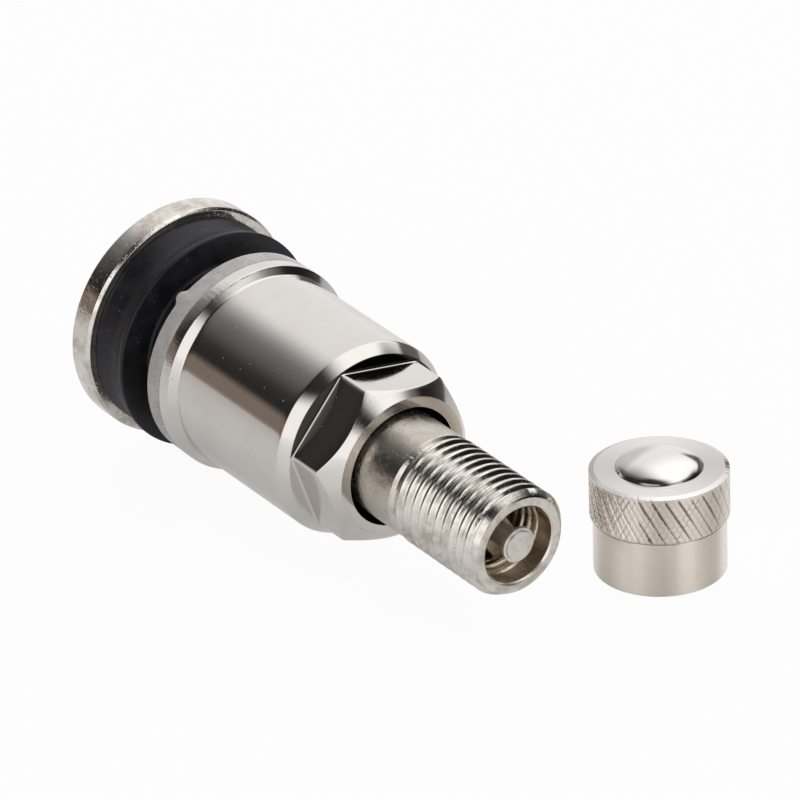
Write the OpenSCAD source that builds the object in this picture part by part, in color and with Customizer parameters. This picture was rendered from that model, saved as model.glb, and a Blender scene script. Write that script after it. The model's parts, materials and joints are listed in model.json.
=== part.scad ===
// Clamp-in tyre valve with a long sleeve nut, lying on its side, and its knurled dust cap beside it.
// All lengths are in millimetres. Along the valve they count from the front face of the head to the tip.

/* [Head] */
// Diameter of the head that stays inside the wheel
head_d = 16.8; // [16:0.1:18]
// Thickness of the head
head_t = 2; // [1.6:0.1:2.6]
// Chamfer along both edges of the head
head_edge = 0.2; // [0.1:0.05:0.4]

/* [Stem] */
// Length from the front of the head to the tip
stem_len = 36.9; // [35:0.1:42]
// Diameter of the shank that carries the nut
shank_d = 9; // [8.8:0.05:9.4]
// Length of the shank, over its nut thread
shank_len = 16.5; // [14:0.5:17.5]
// Diameter of the plain neck behind the valve thread
neck_d = 7.6; // [7.2:0.05:7.7]
// Outside diameter of the valve thread
thread_d = 7.74; // [7.72:0.02:7.9]
// Length of the valve thread
thread_len = 8.4; // [6:0.1:10]
// Pitch of the valve thread, which has 32 turns to the inch
thread_pitch = 0.794; // [0.75:0.002:0.9]
// Width of the thread's groove between two crests
thread_groove_w = 0.44; // [0.36:0.02:0.48]
// Depth of the thread's groove
thread_depth = 0.38; // [0.3:0.02:0.42]
// Width of the groove where the valve thread runs out
runout_w = 0.65; // [0.6:0.05:1]
// Depth of that groove below the neck
runout_depth = 0.25; // [0.1:0.05:0.4]
// Chamfer along the edge of the tip
tip_edge = 0.45; // [0.2:0.05:0.6]
// Diameter of the mouth at the tip
mouth_d = 5.74; // [5.6:0.02:6]
// Diameter of the plain counterbore behind the mouth
counterbore_d = 5.45; // [5.36:0.01:5.55]
// Depth of the counterbore from the tip
counterbore_depth = 1.5; // [1:0.1:2]
// Diameter of the bore that takes the core
core_bore_d = 5.2; // [5:0.02:5.3]
// Diameter of the air passage through the head and shank
air_d = 3; // [2.4:0.1:3.4]
// Countersink where the air passage leaves the head
air_countersink = 0.4; // [0.2:0.1:0.8]

/* [Rim seal] */
// Diameter of the rubber where it sits on the head
seal_base_d = 15.4; // [14.6:0.1:15.8]
// Diameter of the hollow between base and lip
seal_waist_d = 14.7; // [14:0.1:15]
// Diameter of the lip that presses on the rim
seal_lip_d = 15.9; // [15.5:0.1:16.4]
// Height of the hollow above the head
seal_waist_at = 1.3; // [0.8:0.1:1.6]
// Radius of the rubber's rounded edges
seal_round = 0.3; // [0.15:0.05:0.4]
// Height of the rubber from the head to the lip's face
seal_h = 3.3; // [2.8:0.1:4]
// Diameter of the rubber neck, which is that of the hole in the rim
rim_hole_d = 11.3; // [10.8:0.1:12]
// Width of the groove that takes the rim
rim_groove = 2.35; // [1.6:0.05:3.2]

/* [Nylon washer] */
// Outside diameter of the washer
washer_d = 15.05; // [14:0.05:15.6]
// Thickness of the washer
washer_t = 1.5; // [1:0.1:2]
// Chamfer along the washer's outer edges
washer_edge = 0.15; // [0.05:0.05:0.3]

/* [Sleeve nut] */
// Diameter of the collar that presses on the washer
collar_d = 15.1; // [14.6:0.1:15.9]
// Height of the collar's straight band
collar_h = 0.95; // [0.6:0.05:1.4]
// Height of the cone from the collar down to the sleeve
collar_cone_h = 0.45; // [0.3:0.05:0.8]
// Outside diameter of the sleeve
sleeve_d = 14; // [13.4:0.1:14.4]
// Length from the back of the nut to the end of the sleeve
sleeve_len = 12.5; // [11.5:0.1:14]
// Height of the chamfer from the sleeve down to the hexagon
shoulder_h = 0.85; // [0.5:0.05:1.2]
// Flat ledge left outside the hexagon's corners
shoulder_ledge = 0.08; // [0.04:0.02:0.2]
// Width of the hexagon across its flats
hex_flats = 11; // [10.6:0.1:11.4]
// Length of the hexagon with its end chamfer
hex_len = 3.85; // [3.2:0.05:5]
// Diameter of the flat ring at the front of the nut
nut_face_d = 10.1; // [9.6:0.1:10.4]
// Diameter of the hole at the front of the nut
nut_hole_d = 8.55; // [8.3:0.05:8.8]
// Depth of that hole, down to the nut's thread
nut_hole_depth = 5.5; // [4.5:0.1:6]
// Angle of the hexagon's corners round the valve
hex_turn = 20.8; // [0:0.1:60]

/* [Valve core] */
// How far the end of the pin stands out of the tip
pin_proud = 0.15; // [-0.4:0.05:0.25]
// Diameter of the pin's end
pin_head_d = 2.1; // [1.9:0.05:2.3]
// Length of the pin's end
pin_head_len = 0.2; // [0.15:0.05:0.7]
// Chamfer along the edge of the pin's end
pin_edge = 0.1; // [0.05:0.05:0.2]
// Diameter of the flange under the pin's end
pin_flange_d = 2.5; // [2.35:0.05:2.7]
// Thickness of that flange
pin_flange_t = 0.3; // [0.2:0.05:0.4]
// Diameter of the pin's rod
pin_rod_d = 1.5; // [1.3:0.05:1.6]
// How far the pin can be pressed in
pin_travel = 1.2; // [0.8:0.1:1.4]
// Distance from the tip to the top of the plug
plug_depth = 3; // [2.6:0.1:3.4]
// Length of the threaded plug
plug_len = 4.4; // [4:0.1:5]
// Length of the plug that has flats for the core key
plug_flats_len = 2; // [1.6:0.1:2.4]
// Width of the bar between those flats
plug_bar_w = 2.3; // [2.1:0.1:2.6]
// Thickness of the bridge that guides the pin
bridge_t = 1; // [0.8:0.1:1.3]
// Diameter of the plug's air way
plug_bore_d = 3.4; // [3.2:0.1:3.8]
// Angle of the plug's bar round the valve
plug_turn = 35; // [0:1:180]
// Outside diameter of the barrel
barrel_d = 3.9; // [3.7:0.05:4.1]
// Length of the barrel below the plug
barrel_len = 7.4; // [6.8:0.1:8]
// Inside diameter of the barrel, over the spring
barrel_bore_d = 3.2; // [3.1:0.05:3.3]
// Thickness of the barrel's floor, which carries the spring
barrel_floor_t = 1.4; // [1:0.1:2]
// Diameter of the air way through the barrel's floor
barrel_hole_d = 2.1; // [1.9:0.05:2.3]
// Length of the barrel's sealing cone
cone_seal_len = 1.6; // [1.2:0.1:2]
// Outside diameter of the cup at the end of the pin
cup_d = 3.4; // [3.2:0.05:3.6]
// Height of the cup
cup_h = 1.3; // [1.1:0.1:1.6]
// Wall thickness of the cup
cup_wall = 0.3; // [0.2:0.05:0.4]
// Height of the rubber that stands out of the cup
cup_seal_proud = 0.2; // [0.1:0.05:0.3]
// Wire diameter of the spring
wire_d = 0.36; // [0.3:0.02:0.4]
// Working turns of the spring
spring_turns = 6; // [4:1:8]

/* [Dust cap] */
// Diameter of the cap over its knurled band
cap_d = 9.3; // [9.1:0.05:9.8]
// Diameter of the cap's plain skirt
cap_skirt_d = 8.86; // [8.7:0.02:9]
// Height of the cap
cap_h = 7.4; // [7:0.1:8.4]
// Height of the plain skirt below the knurled band
cap_skirt_h = 3.85; // [3.2:0.05:4.4]
// Chamfer along the edges of the knurled band
cap_edge = 0.25; // [0.15:0.05:0.4]
// Diameter of the hollow in the top of the cap
cap_hollow_d = 6; // [5.4:0.1:6.6]
// Radius of the rounded edge that leads down into the hollow
cap_hollow_round = 1.2; // [0.8:0.1:1.5]
// Radius of the dome that rises from the hollow
cap_dome_r = 2.4; // [2.2:0.05:2.8]
// How far the dome stands out above the cap's flat rim
cap_dome_proud = 0.35; // [0:0.05:0.5]
// Thickness of the cap's crown below the groove round the dome
cap_crown_t = 0.8; // [0.6:0.1:1]
// Thickness of the rubber disc in the crown
cap_seal_t = 0.9; // [0.6:0.1:1.2]
// Depth of the groove that holds the rubber disc, out from the bore
cap_seal_groove = 0.2; // [0.1:0.05:0.25]
// Clear space between the valve thread and the cap that stands beside it
cap_beside = 3.4; // [2.6:0.1:8]
// Distance of the cap's centre behind the tip
cap_behind = 0.3; // [-4:0.1:3]

/* [Fits] */
// Chamfer along the edges of the small rubber seals
soft_edge = 0.06; // [0.03:0.01:0.1]
// Gap between pieces that are pressed or screwed together
fit_gap = 0.02; // [0.01:0.005:0.03]
// Gap round pieces that slide or turn
slide_gap = 0.08; // [0.05:0.01:0.1]
// Gap between faces of pieces that move apart
face_gap = 0.04; // [0.02:0.01:0.08]
// Gap between the barrel and the wall of its chamber
barrel_gap = 0.15; // [0.1:0.05:0.25]
// Gap between the cap's thread and the valve thread
cap_gap = 0.06; // [0.03:0.01:0.1]

/* [Hidden] */
$fn = 96;
overrun = 1;
nickel = "#c9c3bb";
chrome = "#d6d4d1";
brass = "#c2a25c";
rubber = "#1d1c1e";
nylon = "#d9d6cc";
steel = "#a9abad";

head_r = head_d / 2;
shank_r = shank_d / 2;
thread_r = thread_d / 2;
neck_r = neck_d / 2;
sleeve_r = sleeve_d / 2;
hex_r = hex_flats / 2 / cos(30);

// Places along the valve, from the head up to the nut's front
groove_end = seal_h + rim_groove;
washer_end = groove_end + washer_t;
nut_back = washer_end + face_gap;
shoulder_start = nut_back + sleeve_len;
hex_start = shoulder_start + shoulder_h;
nut_front = hex_start + hex_len;
hex_corner_end = nut_front - (hex_r - nut_face_d / 2);

// Places along the valve, from the tip down into the core
thread_start = stem_len - thread_len;
pin_end = stem_len + pin_proud;
plug_top = stem_len - plug_depth;
plug_base = plug_top - plug_len;
bridge_base = plug_top - bridge_t;
spring_top = bridge_base - face_gap - pin_flange_t;
barrel_base = plug_base - barrel_len;
barrel_floor = barrel_base + barrel_floor_t;
cone_top = plug_base - fit_gap;
cone_base = cone_top - cone_seal_len;
cup_rim = barrel_base - face_gap - cup_seal_proud;
cup_base = cup_rim - cup_h;
rivet_h = cup_wall;
pin_base = cup_base - rivet_h;
chamber_r = barrel_d / 2 + barrel_gap;
chamber_base = pin_base - pin_travel - barrel_gap;

// The valve rests on the head's front edge and on whichever edge of the nut or tip touches first
edges = [[shoulder_start, sleeve_r], [nut_back + collar_h, collar_d / 2], [hex_corner_end, hex_r],
         [stem_len, thread_r]];
rest_tilt = atan(min([for (edge = edges) (head_r - edge[1]) / (edge[0] + head_edge)]));
head_height = head_r * cos(rest_tilt) - head_edge * sin(rest_tilt);

// The cap stands beside the tip, and the origin lies under the middle of the whole set
cap_r = cap_d / 2;
cap_x = stem_len * cos(rest_tilt) - cap_behind;
cap_y = thread_r + cap_beside + cap_r;
set_back = -head_t * cos(rest_tilt) - (head_r - head_edge) * sin(rest_tilt);
set_front = max(cap_x + cap_r, stem_len * cos(rest_tilt) + (thread_r - tip_edge) * sin(rest_tilt));
set_left = max(cap_y + cap_r, head_r);
middle = [(set_back + set_front) / 2, (set_left - head_r) / 2];

// The groove round the cap's dome lies where the dome's circle meets that of the hollow's edge
dome_centre = [0, cap_h + cap_dome_proud - cap_dome_r];
edge_centre = [cap_hollow_d / 2, cap_h - cap_hollow_round];
centres_apart = norm(edge_centre - dome_centre);
outward = (edge_centre - dome_centre) / centres_apart;
groove_out = (pow(cap_dome_r, 2) - pow(cap_hollow_round, 2) + pow(centres_apart, 2)) / (2 * centres_apart);
groove_up = sqrt(pow(cap_dome_r, 2) - pow(groove_out, 2));
dome_groove = dome_centre + groove_out * outward + groove_up * [-outward[1], outward[0]];

// Cap heights, from its crown to its open end
cap_ceiling = dome_groove[1] - cap_crown_t;
cap_bore_r = thread_r + cap_gap;
cap_seal_low = cap_ceiling - cap_seal_t;
cap_seat_r = cap_bore_r + cap_seal_groove;

// Puts a shape drawn along +Z from the head's front face onto the tilted axis of the lying valve
module lying() {
    translate([-middle[0], -middle[1], head_height]) rotate([0, 90 + rest_tilt, 0]) children();
}

// Puts a shape that stands on the ground where the cap stands
module standing() {
    translate([cap_x - middle[0], cap_y - middle[1], 0]) children();
}

// A turned ring between two radii and two heights, with chamfers on its outer edges
module turned_ring(inner_r, outer_r, low, high, edge) {
    rotate_extrude()
        polygon([[inner_r, low], [outer_r - edge, low], [outer_r, low + edge],
                 [outer_r, high - edge], [outer_r - edge, high], [inner_r, high]]);
}

// Points of a round from one angle to another about a centre
function arc(centre, radius, from, to, steps = 6) =
    [for (i = [0:steps]) let (a = from + (to - from) * i / steps) centre + radius * [cos(a), sin(a)]];

// Angle of a point as seen from a centre
function turn_to(centre, point) = atan2(point[1] - centre[1], point[0] - centre[0]);

// Head, shank, neck and threaded tip turned from one bar, drilled through from the tip to the head.
// The valve thread is drawn as rings of its pitch.
module valve_stem() {
    mouth_r = mouth_d / 2;
    counterbore_r = counterbore_d / 2;
    bore_r = core_bore_d / 2;
    air_r = air_d / 2;
    runout_r = neck_r - runout_depth;
    thread_turns = floor((thread_len - tip_edge) / thread_pitch);
    thread_grooves = [for (turn = [0:thread_turns - 1], side = [-1:1])
        [thread_r - (side == 0 ? thread_depth : 0),
         thread_start + (turn + 0.5) * thread_pitch + side * thread_groove_w / 2]];
    outside = concat(
        [[air_r + air_countersink, -head_t], [head_r - head_edge, -head_t], [head_r, head_edge - head_t],
         [head_r, -head_edge], [head_r - head_edge, 0], [shank_r, 0],
         [shank_r, shank_len - (shank_r - neck_r)], [neck_r, shank_len],
         [neck_r, thread_start - runout_w], [runout_r, thread_start - runout_w * 2 / 3],
         [runout_r, thread_start - runout_w / 3], [thread_r, thread_start]],
        thread_grooves,
        [[thread_r, stem_len - tip_edge], [thread_r - tip_edge, stem_len]]);
    inside =
        [[mouth_r, stem_len], [counterbore_r, stem_len - (mouth_r - counterbore_r)],
         [counterbore_r, stem_len - counterbore_depth],
         [bore_r, stem_len - counterbore_depth - (counterbore_r - bore_r)],
         [bore_r, cone_top], [chamber_r, cone_base], [chamber_r, chamber_base],
         [air_r, chamber_base - (chamber_r - air_r)], [air_r, air_countersink - head_t]];
    color(nickel) lying() rotate_extrude() polygon(concat(outside, inside));
}

// Rubber grommet that sits on the head, fills the hole in the rim and seals with its lip
module rim_seal() {
    base_r = seal_base_d / 2;
    waist_r = seal_waist_d / 2;
    lip_r = seal_lip_d / 2;
    neck_r = rim_hole_d / 2;
    neck_end = groove_end - face_gap;
    color(rubber) lying() rotate_extrude() polygon(concat(
        [[shank_r + fit_gap, 0], [base_r, 0], [waist_r, seal_waist_at],
         [waist_r, seal_waist_at + seal_round]],
        arc([lip_r - seal_round, seal_h - seal_round], seal_round, 0, 90),
        arc([neck_r + seal_round, seal_h + seal_round], seal_round, 270, 180),
        [[neck_r, neck_end], [shank_r + fit_gap, neck_end]]));
}

// Nylon ring that lets the nut turn without dragging on the rim
module nylon_washer() {
    color(nylon) lying()
        turned_ring(shank_r + slide_gap, washer_d / 2, groove_end, washer_end, washer_edge);
}

// Long nut: collar, sleeve and hexagon in one piece, open at both ends
module sleeve_nut() {
    collar_r = collar_d / 2;
    face_r = nut_face_d / 2;
    bore_r = shank_r + slide_gap;
    hole_r = nut_hole_d / 2;
    bore_end = nut_front - nut_hole_depth;
    cone_top_h = nut_back + collar_h + collar_cone_h;
    color(chrome) lying() difference() {
        union() {
            rotate_extrude() polygon(
                [[0, nut_back], [collar_r, nut_back], [collar_r, nut_back + collar_h],
                 [sleeve_r, cone_top_h], [sleeve_r, shoulder_start],
                 [hex_r + shoulder_ledge, hex_start], [0, hex_start]]);
            intersection() {
                rotate([0, 0, hex_turn]) translate([0, 0, shoulder_start])
                    cylinder(r = hex_r, h = nut_front - shoulder_start, $fn = 6);
                rotate_extrude() polygon(
                    [[0, shoulder_start], [sleeve_r, shoulder_start],
                     [sleeve_r, hex_corner_end - (sleeve_r - hex_r)], [face_r, nut_front], [0, nut_front]]);
            }
        }
        rotate_extrude() polygon(
            [[0, nut_back - overrun], [bore_r, nut_back - overrun], [bore_r, bore_end],
             [hole_r, bore_end + bore_r - hole_r], [hole_r, nut_front + overrun],
             [0, nut_front + overrun]]);
    }
}

// Threaded plug that holds the core down, flattened above for the core key and bridged over the pin
module core_plug() {
    plug_r = core_bore_d / 2 - fit_gap;
    flats_base = plug_top - plug_flats_len;
    color(brass) lying() rotate([0, 0, plug_turn]) difference() {
        union() {
            translate([0, 0, plug_base]) cylinder(r = plug_r, h = flats_base - plug_base);
            intersection() {
                translate([0, 0, plug_base]) cylinder(r = plug_r, h = plug_len);
                translate([-plug_r, -plug_bar_w / 2, plug_base]) cube([2 * plug_r, plug_bar_w, plug_len]);
            }
        }
        translate([0, 0, plug_base - overrun])
            cylinder(d = plug_bore_d, h = bridge_base - plug_base + overrun);
        translate([0, 0, plug_base]) cylinder(d = pin_rod_d + 2 * slide_gap, h = plug_len + overrun);
    }
}

// Tube below the plug that guides the spring and ends in the valve's seat
module core_barrel() {
    outer_r = barrel_d / 2;
    hole_r = barrel_hole_d / 2;
    bore_r = barrel_bore_d / 2;
    seat_edge = outer_r - cup_d / 2 + cup_wall;
    color(brass) lying() rotate_extrude() polygon(
        [[hole_r, barrel_base], [outer_r - seat_edge, barrel_base], [outer_r, barrel_base + seat_edge],
         [outer_r, plug_base], [bore_r, plug_base], [bore_r, barrel_floor], [hole_r, barrel_floor]]);
}

// Soft ring on the barrel that seals in the cone of the stem
module core_cone_seal() {
    inner_r = barrel_d / 2 + fit_gap;
    color(rubber) lying() rotate_extrude() polygon(
        [[inner_r, cone_base], [chamber_r - fit_gap, cone_base], [core_bore_d / 2 - fit_gap, cone_top],
         [inner_r, cone_top]]);
}

// Pin that is pressed to let air through, with its end, its spring flange and its riveted foot
module core_pin() {
    head_r = pin_head_d / 2;
    flange_r = pin_flange_d / 2;
    rod_r = pin_rod_d / 2;
    head_base = pin_end - pin_head_len;
    flange_base = head_base - pin_flange_t;
    rivet_r = rod_r + cup_wall;
    color(steel) lying() rotate_extrude() polygon(
        [[0, pin_base], [rivet_r, pin_base], [rivet_r, cup_base], [rod_r, cup_base],
         [rod_r, spring_top], [flange_r, spring_top], [flange_r, spring_top + pin_flange_t],
         [rod_r, spring_top + pin_flange_t], [rod_r, flange_base], [flange_r, flange_base],
         [flange_r, head_base], [head_r, head_base], [head_r, pin_end - pin_edge],
         [head_r - pin_edge, pin_end], [0, pin_end]]);
}

// Round wire wound up the barrel, with one closed turn at each end
module core_spring() {
    sides = 8;
    steps = 20;
    wire_r = wire_d / 2;
    coil_r = barrel_bore_d / 2 - slide_gap - wire_r;
    low = barrel_floor + fit_gap + wire_r;
    high = spring_top - fit_gap - wire_r;
    turns = spring_turns + 2;
    rise = high - low - 2 * wire_d;
    function height(turn) = low
        + wire_d * (min(turn, 1) + max(turn - turns + 1, 0))
        + rise * min(max((turn - 1) / spring_turns, 0), 1);
    rings = turns * steps;
    points = [for (i = [0:rings], k = [0:sides - 1])
        let (turn = i / steps, about = 360 * turn, round = 360 * k / sides,
             r = coil_r + wire_r * cos(round))
        [r * cos(about), r * sin(about), height(turn) + wire_r * sin(round)]];
    walls = [for (i = [0:rings - 1], k = [0:sides - 1])
        let (a = i * sides + k, b = i * sides + (k + 1) % sides)
        [a, a + sides, b + sides, b]];
    first = [for (k = [0:sides - 1]) k];
    last = [for (k = [sides - 1:-1:0]) rings * sides + k];
    color(steel) lying() polyhedron(points, concat([first, last], walls));
}

// Cup riveted to the pin's foot
module core_cup() {
    outer_r = cup_d / 2;
    rod_r = pin_rod_d / 2 + fit_gap;
    color(brass) lying() rotate_extrude() polygon(
        [[rod_r, cup_base], [outer_r, cup_base], [outer_r, cup_rim], [outer_r - cup_wall, cup_rim],
         [outer_r - cup_wall, cup_base + cup_wall], [rod_r, cup_base + cup_wall]]);
}

// Rubber ring in the cup that closes against the barrel's seat
module core_cup_seal() {
    color(rubber) lying()
        turned_ring(pin_rod_d / 2 + fit_gap, cup_d / 2 - cup_wall - fit_gap, cup_base + cup_wall,
                    cup_rim + cup_seal_proud, soft_edge);
}

// Turned cap: plain skirt, band for the knurl, and a hollow crown with a dome in it
module cap_shell() {
    skirt_r = cap_skirt_d / 2;
    dome_steps = 10;
    dome = arc(dome_centre, cap_dome_r, turn_to(dome_centre, dome_groove), 90, dome_steps);
    color(nickel) standing() rotate_extrude() polygon(concat(
        [[cap_bore_r + cap_gap, 0], [skirt_r - cap_edge / 2, 0], [skirt_r, cap_edge / 2],
         [skirt_r, cap_skirt_h], [cap_r - cap_edge, cap_skirt_h], [cap_r, cap_skirt_h + cap_edge],
         [cap_r, cap_h - cap_edge], [cap_r - cap_edge, cap_h]],
        arc(edge_centre, cap_hollow_round, 90, turn_to(edge_centre, dome_groove)),
        [for (step = [1:dome_steps]) dome[step]],
        [[0, cap_ceiling], [cap_seat_r, cap_ceiling], [cap_seat_r, cap_seal_low - fit_gap],
         [cap_bore_r, cap_seal_low - fit_gap], [cap_bore_r, cap_gap]]));
}

// Rubber disc snapped into the groove in the crown of the cap
module cap_seal() {
    color(rubber) standing()
        turned_ring(0, cap_seat_r - fit_gap, cap_seal_low, cap_ceiling, soft_edge);
}

valve_stem();
rim_seal();
nylon_washer();
sleeve_nut();
core_plug();
core_barrel();
core_cone_seal();
core_pin();
core_spring();
core_cup();
core_cup_seal();
cap_shell();
cap_seal();
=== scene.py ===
# Clamp-in tyre valve lying on its side, with its knurled dust cap standing beside it.
# Lengths in the dictionaries are millimetres. Along the valve they count from the front of the head.
import json
import math

import bpy
from mathutils import Matrix, Vector, noise


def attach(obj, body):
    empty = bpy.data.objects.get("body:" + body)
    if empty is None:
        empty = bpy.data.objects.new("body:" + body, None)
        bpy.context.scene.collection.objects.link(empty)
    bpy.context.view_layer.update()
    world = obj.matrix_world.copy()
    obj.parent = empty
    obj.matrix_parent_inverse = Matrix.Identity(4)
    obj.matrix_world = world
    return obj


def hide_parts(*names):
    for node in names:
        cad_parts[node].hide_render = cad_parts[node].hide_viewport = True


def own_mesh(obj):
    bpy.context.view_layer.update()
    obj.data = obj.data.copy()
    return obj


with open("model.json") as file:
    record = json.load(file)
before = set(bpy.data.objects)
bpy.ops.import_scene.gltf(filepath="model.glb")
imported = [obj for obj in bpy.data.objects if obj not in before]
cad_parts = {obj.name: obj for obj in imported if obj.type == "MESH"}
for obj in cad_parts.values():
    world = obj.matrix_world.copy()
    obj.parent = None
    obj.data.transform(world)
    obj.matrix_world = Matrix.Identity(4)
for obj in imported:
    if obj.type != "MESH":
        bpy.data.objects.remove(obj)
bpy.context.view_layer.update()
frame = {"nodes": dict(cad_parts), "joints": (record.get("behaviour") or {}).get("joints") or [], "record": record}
mm = 0.001
fullTurn = 2 * math.pi
hair = 0.001   # keeps two rings of an outline apart
touch = 0.01   # a ring this near to a radius or a height is on it
print("frame loaded")

# where the valve lies and where the cap stands, as the frame has them
headThick = 2.0
mounts = {mount["name"]: mount for mount in frame["record"]["mounts"]}
valveAxis = Vector(mounts["valve_thread"]["axis"]).normalized()
threadMiddle = Vector(mounts["valve_thread"]["pos_m"])
headBack = Vector(mounts["head_back"]["pos_m"])
backAlong = (headBack - threadMiddle).dot(valveAxis)
headFront = threadMiddle + valveAxis * (backAlong + headThick * mm)
valveLean = math.atan2(valveAxis.x, valveAxis.z)
lying = Matrix.Translation(headFront) @ Matrix.Rotation(valveLean, 4, "Y")
capMiddle = Vector(mounts["cap_thread"]["pos_m"])
standing = Matrix.Translation((capMiddle.x, capMiddle.y, 0))
threadRadius = mounts["valve_thread"]["dims"]["r_mm"]
threadLength = mounts["valve_thread"]["dims"]["length_mm"]
threadStart = (threadMiddle - headFront).dot(valveAxis) / mm - threadLength / 2


def measure(node, place):
    # where a turned node starts and ends along its axis, and its largest radius
    away = place.inverted()
    points = [away @ vertex.co / mm for vertex in frame["nodes"][node].data.vertices]
    heights = [point.z for point in points]
    return min(heights), max(heights), max(math.hypot(point.x, point.y) for point in points)


def smoothStep(low, high, value):
    share = min(max((value - low) / (high - low), 0), 1)
    return share * share * (3 - 2 * share)


def bow(start, corner, end, share):
    # a point on the round that leaves start towards the corner and arrives at end
    return start * (1 - share) ** 2 + corner * 2 * share * (1 - share) + end * share ** 2


def soften(points, segments=4, mostOfEdge=0.49):
    # a third number on a point rounds that corner, from that far before it to that far after
    outline = []
    for index, point in enumerate(points):
        here = Vector(point[:2])
        if len(point) == 2:
            outline.append(here)
            continue
        toBefore = Vector(points[index - 1][:2]) - here
        toAfter = Vector(points[index + 1][:2]) - here
        cut = min(point[2], toBefore.length * mostOfEdge, toAfter.length * mostOfEdge)
        start = here + toBefore.normalized() * cut
        end = here + toAfter.normalized() * cut
        outline += [bow(start, here, end, step / segments) for step in range(segments + 1)]
    return outline


def stretch(start, end, count):
    # evenly spaced outline points, for rings that are moved later
    return [tuple(Vector(start).lerp(Vector(end), step / count)) for step in range(count + 1)]


def weldSkin(gap=0.002):
    # merges the doubles of the active piece and turns its faces outwards
    bpy.ops.object.mode_set(mode="EDIT")
    bpy.ops.mesh.select_all(action="SELECT")
    bpy.ops.mesh.remove_doubles(threshold=gap * mm)
    bpy.ops.mesh.normals_make_consistent(inside=False)
    bpy.ops.object.mode_set(mode="OBJECT")


def turnOnLathe(name, outline, steps):
    # one vertex is drawn out along the outline, then spun about the axis
    bpy.ops.object.select_all(action="DESELECT")
    bpy.ops.mesh.primitive_plane_add(size=mm)
    piece = bpy.context.object
    piece.name = name
    piece.data.name = name
    spots = [Vector((radius, 0, height)) * mm for radius, height in outline]
    bpy.ops.object.mode_set(mode="EDIT")
    bpy.ops.mesh.select_all(action="SELECT")
    bpy.ops.mesh.merge(type="CENTER")
    bpy.ops.transform.translate(value=spots[0])
    for here, there in zip(spots, spots[1:]):
        bpy.ops.mesh.extrude_vertices_move(TRANSFORM_OT_translate={"value": there - here})
    bpy.ops.mesh.select_all(action="SELECT")
    bpy.ops.mesh.spin(steps=steps, angle=fullTurn, center=(0, 0, 0), axis=(0, 0, 1))
    weldSkin()
    return piece


def moveRings(piece, rule):
    # the rule takes radius, angle and height of a vertex and gives its new ones
    for vertex in piece.data.vertices:
        radius = math.hypot(vertex.co.x, vertex.co.y) / mm
        angle = math.atan2(vertex.co.y, vertex.co.x)
        radius, angle, height = rule(radius, angle, vertex.co.z / mm)
        vertex.co = Vector((radius * math.cos(angle), radius * math.sin(angle), height)) * mm


def screwDepth(angle, height, pitch, crestShare=0.18, rootShare=0.18, roundShare=0.4):
    # 0 on the crest of a right-hand thread and 1 at its root, which passes height 0 at angle 0
    turn = (height / pitch - angle / fullTurn) % 1
    slope = abs(2 * turn - 1)
    cut = min(max((slope - crestShare) / (1 - crestShare - rootShare), 0), 1)
    return cut * (1 - roundShare) + smoothStep(0, 1, cut) * roundShare


def settle(piece, place, body, node, slot, smoothAngle):
    # puts the place into the mesh and hands the piece to the frame
    bpy.ops.object.select_all(action="DESELECT")
    piece.select_set(True)
    bpy.context.view_layer.objects.active = piece
    piece.matrix_world = place
    bpy.ops.object.transform_apply(location=True, rotation=True, scale=True)
    bpy.ops.object.shade_smooth_by_angle(angle=math.radians(smoothAngle))
    piece.data.materials.clear()
    piece.data.materials.append(finishes[slot])
    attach(piece, body)
    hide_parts(node)


# shader sums are written as expressions on wires
class Wire:
    def __init__(self, finish, socket):
        self.finish = finish
        self.socket = socket

    def joined(self, operation, first, second):
        return self.finish.node("ShaderNodeMath", {"operation": operation}, {0: first, 1: second})

    def __add__(self, other):
        return self.joined("ADD", self, other)

    __radd__ = __add__

    def __sub__(self, other):
        return self.joined("SUBTRACT", self, other)

    def __rsub__(self, other):
        return self.joined("SUBTRACT", other, self)

    def __mul__(self, other):
        return self.joined("MULTIPLY", self, other)

    __rmul__ = __mul__

    def __lt__(self, other):
        return self.joined("LESS_THAN", self, other)

    def __gt__(self, other):
        return self.joined("GREATER_THAN", self, other)


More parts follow.
